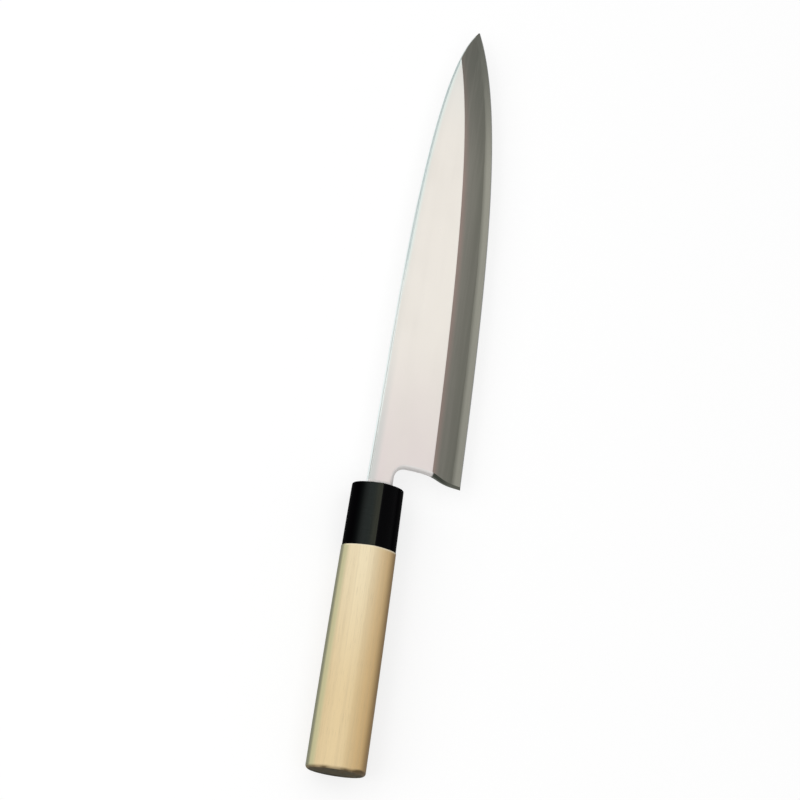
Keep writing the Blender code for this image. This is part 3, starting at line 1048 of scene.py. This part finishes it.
def filed_choil(name, colours, form):
    """Filed ends of the blade: pale round the notch, and dark down the heel's face under the ridge."""
    finish = Finish(name)
    file_mark = finish.grain((300, 300, 5200), 3.8, detail=3)
    cloud = finish.grain((180, 180, 180), 9.1, detail=3)
    ridge = form.edge(form.heel_x) + form.bevel_width(form.heel_x)
    down = finish.ramp(finish.axis("Y") + 0.0010 * cloud, ridge + 0.0006, ridge - 0.0004)
    base = finish.over(colours.choil, scaled(colours.choil, 0.85), cloud, 0.4, 0.7, 0.3)
    y = finish.axis("Y")
    end = finish.over(colours.heel_face, colours.bevel_weld, y, ridge - 0.004, ridge - 0.013, 0.55)
    return finish.surface(
        Base_Color=finish.blend(down, base, end),
        Metallic=0.30 + 0.60 * down,
        Roughness=0.46 + 0.16 * file_mark,
        Normal=finish.relief(file_mark, 0.000006),
    )


def honed_polish(colours):
    """The small honed facet along the edge."""
    finish = Finish("hard steel, honed edge")
    scratch = finish.grain((3200, 300, 300), 3.3, detail=3)
    return finish.surface(
        Base_Color=finish.over(colours.honed_grey, colours.honed_pale, scratch, 0.3, 0.7),
        Metallic=1.0,
        Roughness=0.14 + 0.14 * scratch,
        Normal=finish.relief(scratch, 0.000001),
    )


def back_polish(colours, form):
    """The back: a bright flat rim round a hollow with grinding marks across it."""
    finish = Finish("hard steel, hollow back")
    inside = finish.ramp(finish.axis("Z"), form.back + 0.000004, form.back + 0.00003)
    marks = finish.grain((1500, 60, 60), 5.1, detail=4)
    fine = finish.grain((40, 2800, 2800), 1.7, detail=3)
    cloud = finish.grain((35, 60, 60), 8.8)
    ground = finish.over(colours.hollow, scaled(colours.hollow, 1.18), marks, 0.35, 0.7)
    rim = finish.over(colours.back, scaled(colours.back, 0.88), cloud, 0.4, 0.7, 0.5)
    return finish.surface(
        Base_Color=finish.blend(inside, rim, ground),
        Metallic=1.0,
        Roughness=0.16 + 0.08 * fine + inside * (0.16 + 0.08 * marks),
        Normal=finish.relief(fine * (1 - inside) + marks * inside, 0.000003),
    )


def across_share(finish, handle):
    """Y as a share of the handle's half width, which narrows towards the front."""
    along = finish.axis("X") / handle.length
    narrowing = (handle.butt_width - handle.front_width) / 2
    swollen = along + handle.swell * (along * along - along)
    return finish.axis("Y") / (handle.butt_width / 2 - narrowing * swollen)


def polished_horn(colours, handle):
    """Black horn with a painted reflection, paler on the spine side of the ridge where its gloss would
    shine, with fine streaks and duller low on its sides.
    """
    finish = Finish("buffalo horn, polished")
    streak = finish.grain((26, 420, 420), 2.6, detail=5, distortion=0.4)
    buffing = finish.grain((900, 120, 120), 9.9, detail=3)
    cloud = finish.grain((90, 160, 160), 4.2)
    across = across_share(finish, handle)
    # Painted reflection: the horn is paler on the spine side of the ridge and palest beside it, in place of
    # the sheen of its polish.
    pale = finish.ramp(across + 0.12 * streak, 0.90, 0.30) * finish.ramp(across, -0.01, 0.02)
    tone = finish.over(colours.horn_sheen, colours.horn_ridge_sheen, across, 0.34, 0.05)
    base = finish.blend(pale * finish.ramp(streak, 0.2, 0.7, 0.6, 1.0), colours.horn, tone)
    finish.surface(
        Base_Color=base,
        Roughness=0.20 + 0.10 * cloud + 0.05 * buffing,
        Specular_IOR_Level=0.05,
        Normal=finish.relief(streak + 0.4 * buffing, 0.000006),
    )
    dull = finish.node("ShaderNodeBsdfDiffuse", inputs={"Color": base})
    low_side = finish.ramp(across * across, 0.26, 0.48, 0.0, 0.9)
    return finish.end_in(finish.mix(low_side, finish.plain(), dull))


def magnolia_wood(colours, handle):
    """Bare magnolia: straight soft grain, greener on the spine side and browner on the edge side, with
    painted shade low on both sides and round the butt's rim, and a painted highlight along the joint.
    """
    finish = Finish("magnolia wood, bare")
    band = finish.grain((2.2, 260, 60), 1.3, detail=2, distortion=0.5)
    streak = finish.grain((9, 1150, 500), 5.5, detail=4)
    vessel = finish.grain((140, 5200, 3600), 7.9, detail=2, roughness=0.5)
    blotch = finish.grain((60, 130, 130), 6.6, detail=3)
    x = finish.axis("X")
    side = across_share(finish, handle)
    across = side + 0.12 * band
    joint_x = handle.length - handle.ferrule_length
    base = finish.over(colours.wood_butt, colours.wood, x, 0.25 * joint_x, joint_x)
    base = finish.over(base, colours.wood_brown, across, 0.25, -0.80, 0.80)
    # Greenish heartwood tone with painted shade towards the spine side's edge, then painted shade at that
    # edge itself.
    base = finish.over(base, colours.wood_green_and_shade, across, 0.84, 1.00, 0.9)
    base = finish.over(base, colours.wood_shade, side, 0.935, 0.990, 0.95)
    # Painted shade low on the edge side.
    base = finish.over(base, colours.wood_edge_shade, side, -0.56, -0.95, 0.90)
    base = finish.over(base, colours.wood_streak, band, 0.38, 0.66, 0.22)
    base = finish.over(base, colours.wood_streak, streak, 0.45, 0.75, 0.20)
    base = finish.over(base, scaled(colours.wood_streak, 0.62), vessel, 0.58, 0.74, 0.30)
    # Painted highlight along the wood's eased edge by the joint, kept off the shaded sides.
    joint_highlight = finish.ramp(x, joint_x - 0.0012, joint_x - 0.0003, 0.0, 0.9)
    base = finish.blend(joint_highlight * finish.ramp(side * side, 0.90, 0.78), base, colours.wood_rim_highlight)
    # Painted shade round the butt's rim, patchy, and reaching further in on the edge side.
    edge_side = finish.ramp(side, -0.25, -0.75)
    rim_shade_and_grime = finish.ramp(x - 0.0010 * edge_side, 0.0019, 0.0002)
    rim_shade_and_grime = rim_shade_and_grime * (finish.ramp(blotch, 0.30, 0.65, 0.40, 1.0) + 0.5 * edge_side)
    return finish.surface(
        Base_Color=finish.blend(rim_shade_and_grime, base, colours.grime_and_shade),
        Roughness=0.50 + 0.14 * streak + 0.08 * blotch,
        Specular_IOR_Level=0.3,
        Normal=finish.relief(streak + 0.7 * vessel + 0.3 * band, 0.00003),
    )


def butt_grain(colours):
    """Magnolia across the grain: growth rings, open pores and dark patches, darker than the side, with
    painted shade over the face and more of it towards the bottom.
    """
    finish = Finish("magnolia wood, end grain")
    settings = {"wave_type": "RINGS", "rings_direction": "X", "wave_profile": "SIN"}
    inputs = {"Vector": finish.place(), "Location": (0.0, 0.035, 0.022)}
    centre = finish.node("ShaderNodeMapping", inputs=inputs)
    inputs = {"Vector": centre, "Scale": 130.0, "Distortion": 1.6, "Detail": 2.0, "Detail Scale": 1.0}
    rings = finish.node("ShaderNodeTexWave", settings, inputs, 1)
    inputs = {"Vector": finish.place(), "Scale": 2600.0, "Randomness": 1.0}
    pore = finish.node("ShaderNodeTexVoronoi", {"feature": "F1"}, inputs)
    blotch = finish.grain((150, 150, 150), 2.9, detail=4)
    base = finish.over(colours.end_grain, scaled(colours.end_grain, 1.25), rings, 0.2, 0.9, 0.55)
    base = finish.over(base, scaled(colours.end_grain, 0.45), pore, 0.28, 0.12, 0.6)
    base = finish.over(base, colours.grime_and_shade, blotch, 0.42, 0.62, 0.70)
    return finish.surface(
        # Painted shade, darker towards the bottom of the butt.
        Base_Color=finish.over(base, colours.butt_shade, finish.axis("Z"), -0.002, -0.012, 0.8),
        Roughness=0.66 + 0.14 * blotch,
        Specular_IOR_Level=0.08,
        Normal=finish.relief(pore + 0.4 * rings, 0.00005),
    )


def scorched_wood(colours):
    """The slot's walls, browned where the hot tang was driven in."""
    finish = Finish("magnolia wood, scorched slot")
    blotch = finish.grain((160, 400, 400), 4.9, detail=4)
    return finish.surface(
        Base_Color=finish.over(colours.scorch, colours.grime_and_shade, blotch, 0.35, 0.7),
        Roughness=0.75 + 0.15 * blotch,
        Normal=finish.relief(blotch, 0.00006),
    )


def pine_resin(colours):
    """Set resin: dark, glossy in places and a little lumpy."""
    finish = Finish("pine resin")
    lumps = finish.grain((700, 700, 700), 3.4, detail=3)
    cloud = finish.grain((1500, 1500, 1500), 6.1, detail=2)
    return finish.surface(
        Base_Color=finish.over(colours.resin, scaled(colours.resin, 0.5), cloud, 0.35, 0.7),
        Roughness=0.22 + 0.25 * lumps,
        Normal=finish.relief(lumps, 0.00008),
    )


def forge_scale(colours):
    """The tang as forged: dark scale over rough iron."""
    finish = Finish("iron, forged tang")
    scale = finish.grain((240, 420, 420), 5.9, detail=5)
    return finish.surface(
        Base_Color=finish.over(colours.scale_dark, colours.scale_pale, scale, 0.4, 0.65),
        Metallic=finish.ramp(scale, 0.35, 0.7, 0.35, 0.85),
        Roughness=0.55 + 0.25 * scale,
        Normal=finish.relief(scale, 0.00005),
    )


def pale_paper(stage):
    """The floor: lit paper that the camera and glossy surfaces see paler than it is, clear from below."""
    finish = Finish("pale paper floor")
    fibre = finish.grain((900, 900, 900), 2.4, detail=3)
    finish.surface(
        Base_Color=finish.over(stage.floor, scaled(stage.floor, 0.985), fibre, 0.3, 0.7),
        Roughness=0.9,
        Specular_IOR_Level=0.1,
        Normal=finish.relief(fibre, 0.00002),
    )
    rays = ("Is Camera Ray", "Is Glossy Ray", "Is Transmission Ray")
    path, glossy, clear = (finish.node("ShaderNodeLightPath", output=ray) for ray in rays)
    seen = path + glossy + clear
    inputs = {"Color": (1.0, 1.0, 1.0, 1.0), "Strength": stage.floor_white}
    glow = finish.node("ShaderNodeEmission", inputs=inputs)
    mixed = finish.mix(seen * stage.floor_glow, finish.plain(), glow)
    under = finish.node("ShaderNodeNewGeometry", output="Backfacing")
    air = finish.node("ShaderNodeBsdfTransparent")
    return finish.end_in(finish.mix(under, mixed, air))


# Operators

class MakePiece:
    """What the operators share."""

    bl_options = {"REGISTER", "UNDO"}

    @staticmethod
    def settings(context):
        scene = context.scene
        return scene.knife_handle, scene.knife_blade, scene.knife_colours


class KNIFE_OT_blade_iron(MakePiece, bpy.types.Operator):
    """Build the iron body of the blade with its neck and tang"""

    bl_idname = "knife.blade_iron"
    bl_label = "Blade iron"

    END_SLACK = 1e-7

    def execute(self, context):
        handle, blade, colours = self.settings(context)
        form = BladeForm(blade, handle.length)
        end = form.iron_end() + self.END_SLACK
        columns = [column[form.weld_row:] for column in form.plan() if column[-1][0] <= end]
        pairs = [[form.iron_place(*place) for place in column] for column in columns]
        shape = bmesh.new()
        top = [[upper for upper, _ in column] for column in pairs]
        bottom = [[lower for _, lower in column] for column in pairs]
        top_rows, _, end_faces, spine_faces = skin_sheet(shape, top, bottom)
        bevel, forged, filed, corner, spine = range(1, 6)
        paint(top_rows[: form.ridge_row - form.weld_row], bevel)
        paint(top_rows[-CORNER_ROWS:], corner)
        paint([spine_faces], spine)
        paint([end_faces] + [band[:CORNER_ROWS] for band in top_rows], filed)
        start, tang_end = form.shoulder_x + TANG_LAP, form.shoulder_x - blade.tang_length
        steps = [between(start, tang_end, i / TANG_STEPS) for i in range(TANG_STEPS + 1)]
        paint(skin(shape, [tang_loop(handle, blade, x, 0.0) for x in steps]), forged)
        materials = [
            flat_polish(colours, form),
            misty_bevel(colours, form),
            forge_scale(colours),
            filed_choil("iron, filed choil", colours, form),
            eased_corner(colours, form),
            spine_face("iron, spine", colours),
        ]
        add_piece("knife_blade_iron", shape, materials, "blade_iron")
        return {"FINISHED"}


class KNIFE_OT_edge_steel(MakePiece, bpy.types.Operator):
    """Build the hard steel that covers the back and comes out along the edge"""

    bl_idname = "knife.edge_steel"
    bl_label = "Edge steel"

    def execute(self, context):
        handle, blade, colours = self.settings(context)
        form = BladeForm(blade, handle.length)
        columns = form.plan()
        shape = bmesh.new()
        top = [[form.steel_top(*place) for place in column] for column in columns]
        bottom = [[form.steel_bottom(*place) for place in form.back_column(column)] for column in columns]
        top_rows, bottom_rows, end_faces, spine_faces = skin_sheet(shape, top, bottom)
        back, honed, filed, spine = range(1, 5)
        paint(bottom_rows, back)
        paint(top_rows[: form.HONED_ROW], honed)
        paint([end_faces] + [band[:CORNER_ROWS] for band in top_rows], filed)
        paint([spine_faces], spine)
        materials = [
            hard_polish(colours, form),
            back_polish(colours, form),
            honed_polish(colours),
            filed_choil("hard steel, filed choil", colours, form),
            spine_face("hard steel, spine", colours),
        ]
        add_piece("knife_edge_steel", shape, materials, "edge_steel")
        return {"FINISHED"}


class KNIFE_OT_horn_ferrule(MakePiece, bpy.types.Operator):
    """Build the horn ferrule with its bore"""

    bl_idname = "knife.horn_ferrule"
    bl_label = "Horn ferrule"

    def execute(self, context):
        handle, blade, colours = self.settings(context)
        joint_x = handle.length - handle.ferrule_length
        bore = tenon_inset(handle, blade)
        step, side, rim = handle.ferrule_step, handle.joint_rim, handle.ferrule_rim
        loops = rim_round(handle, joint_x, 1, side, step)
        loops += straight_run(handle, joint_x + side, handle.length - rim, step)[1:-1]
        loops += reversed(rim_round(handle, handle.length, -1, rim, step))
        loops.append(handle_section(handle, handle.length, bore - BORE_RIM))
        loops += straight_run(handle, handle.length - BORE_RIM, joint_x, bore, TENON_STEPS)
        shape = bmesh.new()
        skin(shape, loops, ring=True)
        add_piece("knife_horn_ferrule", shape, [polished_horn(colours, handle)], "horn_ferrule")
        return {"FINISHED"}


class KNIFE_OT_wood_grip(MakePiece, bpy.types.Operator):
    """Build the wooden grip with its tenon and the slot for the tang"""

    bl_idname = "knife.wood_grip"
    bl_label = "Wood grip"

    def execute(self, context):
        handle, blade, colours = self.settings(context)
        tenon = tenon_inset(handle, blade) + PIECE_GAP
        shoulder = handle.length - handle.ferrule_length - PIECE_GAP
        face_x = handle.length - FIT_GAP
        side = handle.joint_rim
        butt = handle_section(handle, 0.0, handle.butt_rim)
        loops = [shrunk(butt, factor, 0.0) for factor in BUTT_CAP]
        loops += rim_round(handle, 0.0, 1, handle.butt_rim)
        loops += straight_run(handle, handle.butt_rim, shoulder - side, 0.0)[1:-1]
        loops += reversed(rim_round(handle, shoulder, -1, side))
        loops += straight_run(handle, shoulder, face_x - side, tenon, TENON_STEPS)
        loops.append(handle_section(handle, face_x, tenon + side))
        solid_bands = len(loops)
        mouth_back = face_x - handle.seal_depth
        mouth = handle.seal_width + 2 * FIT_GAP
        slot_end = handle.length + BladeForm.SHOULDER_LEAD - blade.tang_length - SLOT_END_SPACE
        slot = ((face_x, mouth), (mouth_back, mouth), (mouth_back, FIT_GAP), (slot_end, FIT_GAP))
        loops += [tang_loop(handle, blade, x, clearance, SECTION_POINTS) for x, clearance in slot]
        shape = bmesh.new()
        bands = skin(shape, loops)
        shape.faces.ensure_lookup_table()
        butt_face, slot_face = shape.faces[:2]
        end_grain, scorched = 1, 2
        paint(bands[: len(BUTT_CAP) + 1] + [bands[solid_bands - 1], [butt_face]], end_grain)
        paint(bands[solid_bands:] + [[slot_face]], scorched)
        materials = [magnolia_wood(colours, handle), butt_grain(colours), scorched_wood(colours)]
        add_piece("knife_wood_grip", shape, materials, "wood_grip")
        return {"FINISHED"}


class KNIFE_OT_tang_seal(MakePiece, bpy.types.Operator):
    """Build the ring of resin that closes the slot's mouth round the tang"""

    bl_idname = "knife.tang_seal"
    bl_label = "Tang seal"

    SUNK = (0.00030, 0.00012, 0.00022, 0.00012)
    EASED = 0.00006
    OUTER_SHARES = (0.62, 0.42)
    RAISED = 0.00010

    def execute(self, context):
        handle, blade, colours = self.settings(context)
        face_x = handle.length - FIT_GAP
        back = face_x - handle.seal_depth + FIT_GAP
        outer = handle.seal_width + FIT_GAP
        reaches = (outer, outer - self.EASED, *(share * outer for share in self.OUTER_SHARES))
        profile = [(back, outer)]
        profile += [(face_x - depth, reach) for depth, reach in zip(self.SUNK, reaches)]
        profile += [(face_x + self.RAISED, FIT_GAP), (back, FIT_GAP)]
        loops = [tang_loop(handle, blade, x, clearance, SEAL_POINTS) for x, clearance in profile]
        shape = bmesh.new()
        skin(shape, loops, ring=True)
        add_piece("knife_tang_seal", shape, [pine_resin(colours)], "tang_seal")
        return {"FINISHED"}


class KNIFE_OT_stage(MakePiece, bpy.types.Operator):
    """Lay the floor, hang the lamps and set up the camera"""

    bl_idname = "knife.stage"
    bl_label = "Stage"

    FLOOR_REACH = 8.0
    FLOOR_CELLS = 8
    LAMP_PLACE = (0.20, 0.32)
    SIDE_PLACE = (0.10, 1.70, 1.50)
    SIDE_SIZE = (2.4, 1.6)
    AIM = (0.19125, -0.00448, 0.0)
    TOWARDS_BUTT = math.radians(13.5)
    TOWARDS_SPINE = math.radians(13.0)
    ROLL = math.radians(8.521)
    SENSOR = 36.0
    SEEN_FROM = 0.1
    SEEN_TO = 50.0

    def execute(self, context):
        scene = context.scene
        stage = scene.knife_stage
        self.lay_floor(stage)
        above = (*self.LAMP_PLACE, stage.lamp_height)
        lamp = self.add_lamp("soft lamp", (stage.lamp_width, stage.lamp_depth), stage.lamp_power)
        lamp.matrix_world = Matrix.Translation(above)
        lamp = self.add_lamp("side lamp", self.SIDE_SIZE, stage.side_power)
        turned = (Vector(self.AIM) - Vector(self.SIDE_PLACE)).to_track_quat("-Z", "Y")
        lamp.matrix_world = Matrix.Translation(self.SIDE_PLACE) @ turned.to_matrix().to_4x4()
        self.light_surround(scene, stage)
        self.set_camera(scene, stage)
        scene.view_settings.view_transform = "Standard"
        return {"FINISHED"}

    def lay_floor(self, stage):
        """A level floor at the height of the object's lowest point."""
        shape = bmesh.new()
        cells = self.FLOOR_CELLS
        bmesh.ops.create_grid(shape, x_segments=cells, y_segments=cells, size=self.FLOOR_REACH)
        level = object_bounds()[0][2]
        bmesh.ops.translate(shape, verts=shape.verts, vec=(0.0, 0.0, level))
        add_object("floor", shape, [pale_paper(stage)])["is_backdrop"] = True

    def add_lamp(self, name, size, power):
        lamp = bpy.data.lights.new(name, "AREA")
        lamp.shape = "RECTANGLE"
        lamp.size, lamp.size_y = size
        lamp.energy = power
        return link_object(name, lamp)

    def light_surround(self, scene, stage):
        world = bpy.data.worlds.new("pale surround")
        world.use_nodes = True
        background = world.node_tree.nodes["Background"]
        background.inputs["Color"].default_value = (1.0, 1.0, 1.0, 1.0)
        background.inputs["Strength"].default_value = stage.surround
        scene.world = world

    def set_camera(self, scene, stage):
        """Looks at the aim point from above, leaning towards the butt and the spine, with a small roll."""
        lean, turn = self.TOWARDS_BUTT, self.TOWARDS_SPINE
        back = Vector((-math.sin(lean), math.cos(lean) * math.sin(turn), math.cos(lean) * math.cos(turn)))
        forward = -back
        up = Vector((1.0, 0.0, 0.0))
        up = (up - up.dot(forward) * forward).normalized()
        right = forward.cross(up)
        rolled_right = math.cos(self.ROLL) * right + math.sin(self.ROLL) * up
        rolled_up = math.cos(self.ROLL) * up - math.sin(self.ROLL) * right
        turned = Matrix((rolled_right, rolled_up, back)).transposed().to_4x4()
        camera = bpy.data.cameras.new("camera")
        camera.sensor_width = self.SENSOR
        camera.lens = stage.camera_lens
        camera.clip_start = self.SEEN_FROM
        camera.clip_end = self.SEEN_TO
        placed = link_object("camera", camera)
        placed.matrix_world = Matrix.Translation(Vector(self.AIM) + stage.camera_distance * back) @ turned
        scene.camera = placed


PIECES = (
    KNIFE_OT_blade_iron,
    KNIFE_OT_edge_steel,
    KNIFE_OT_horn_ferrule,
    KNIFE_OT_wood_grip,
    KNIFE_OT_tang_seal,
    KNIFE_OT_stage,
)


class KNIFE_PT_pieces(bpy.types.Panel):
    """The knife's pieces and their settings"""

    bl_idname = "KNIFE_PT_pieces"
    bl_label = "Knife"
    bl_space_type = "VIEW_3D"
    bl_region_type = "UI"
    bl_category = "Knife"

    def draw(self, context):
        layout = self.layout
        for piece in PIECES:
            layout.operator(piece.bl_idname)
        for group in GROUPS:
            box = layout.box()
            settings = getattr(context.scene, group)
            for name in settings.bl_rna.properties.keys():
                if name not in {"rna_type", "name"}:
                    box.prop(settings, name)


GROUPS = {
    "knife_handle": HandleSizes,
    "knife_blade": BladeSizes,
    "knife_colours": KnifeColours,
    "knife_stage": StageSettings,
}
CLASSES = (*GROUPS.values(), *PIECES, KNIFE_PT_pieces)


def register():
    for made in CLASSES:
        bpy.utils.register_class(made)
    for name, group in GROUPS.items():
        setattr(bpy.types.Scene, name, PointerProperty(type=group))


def unregister():
    for name in GROUPS:
        delattr(bpy.types.Scene, name)
    for made in reversed(CLASSES):
        bpy.utils.unregister_class(made)


def main():
    register()
    bpy.ops.knife.blade_iron()
    bpy.ops.knife.edge_steel()
    bpy.ops.knife.horn_ferrule()
    bpy.ops.knife.wood_grip()
    bpy.ops.knife.tang_seal()
    bpy.ops.knife.stage()


if __name__ == "__main__":
    main()
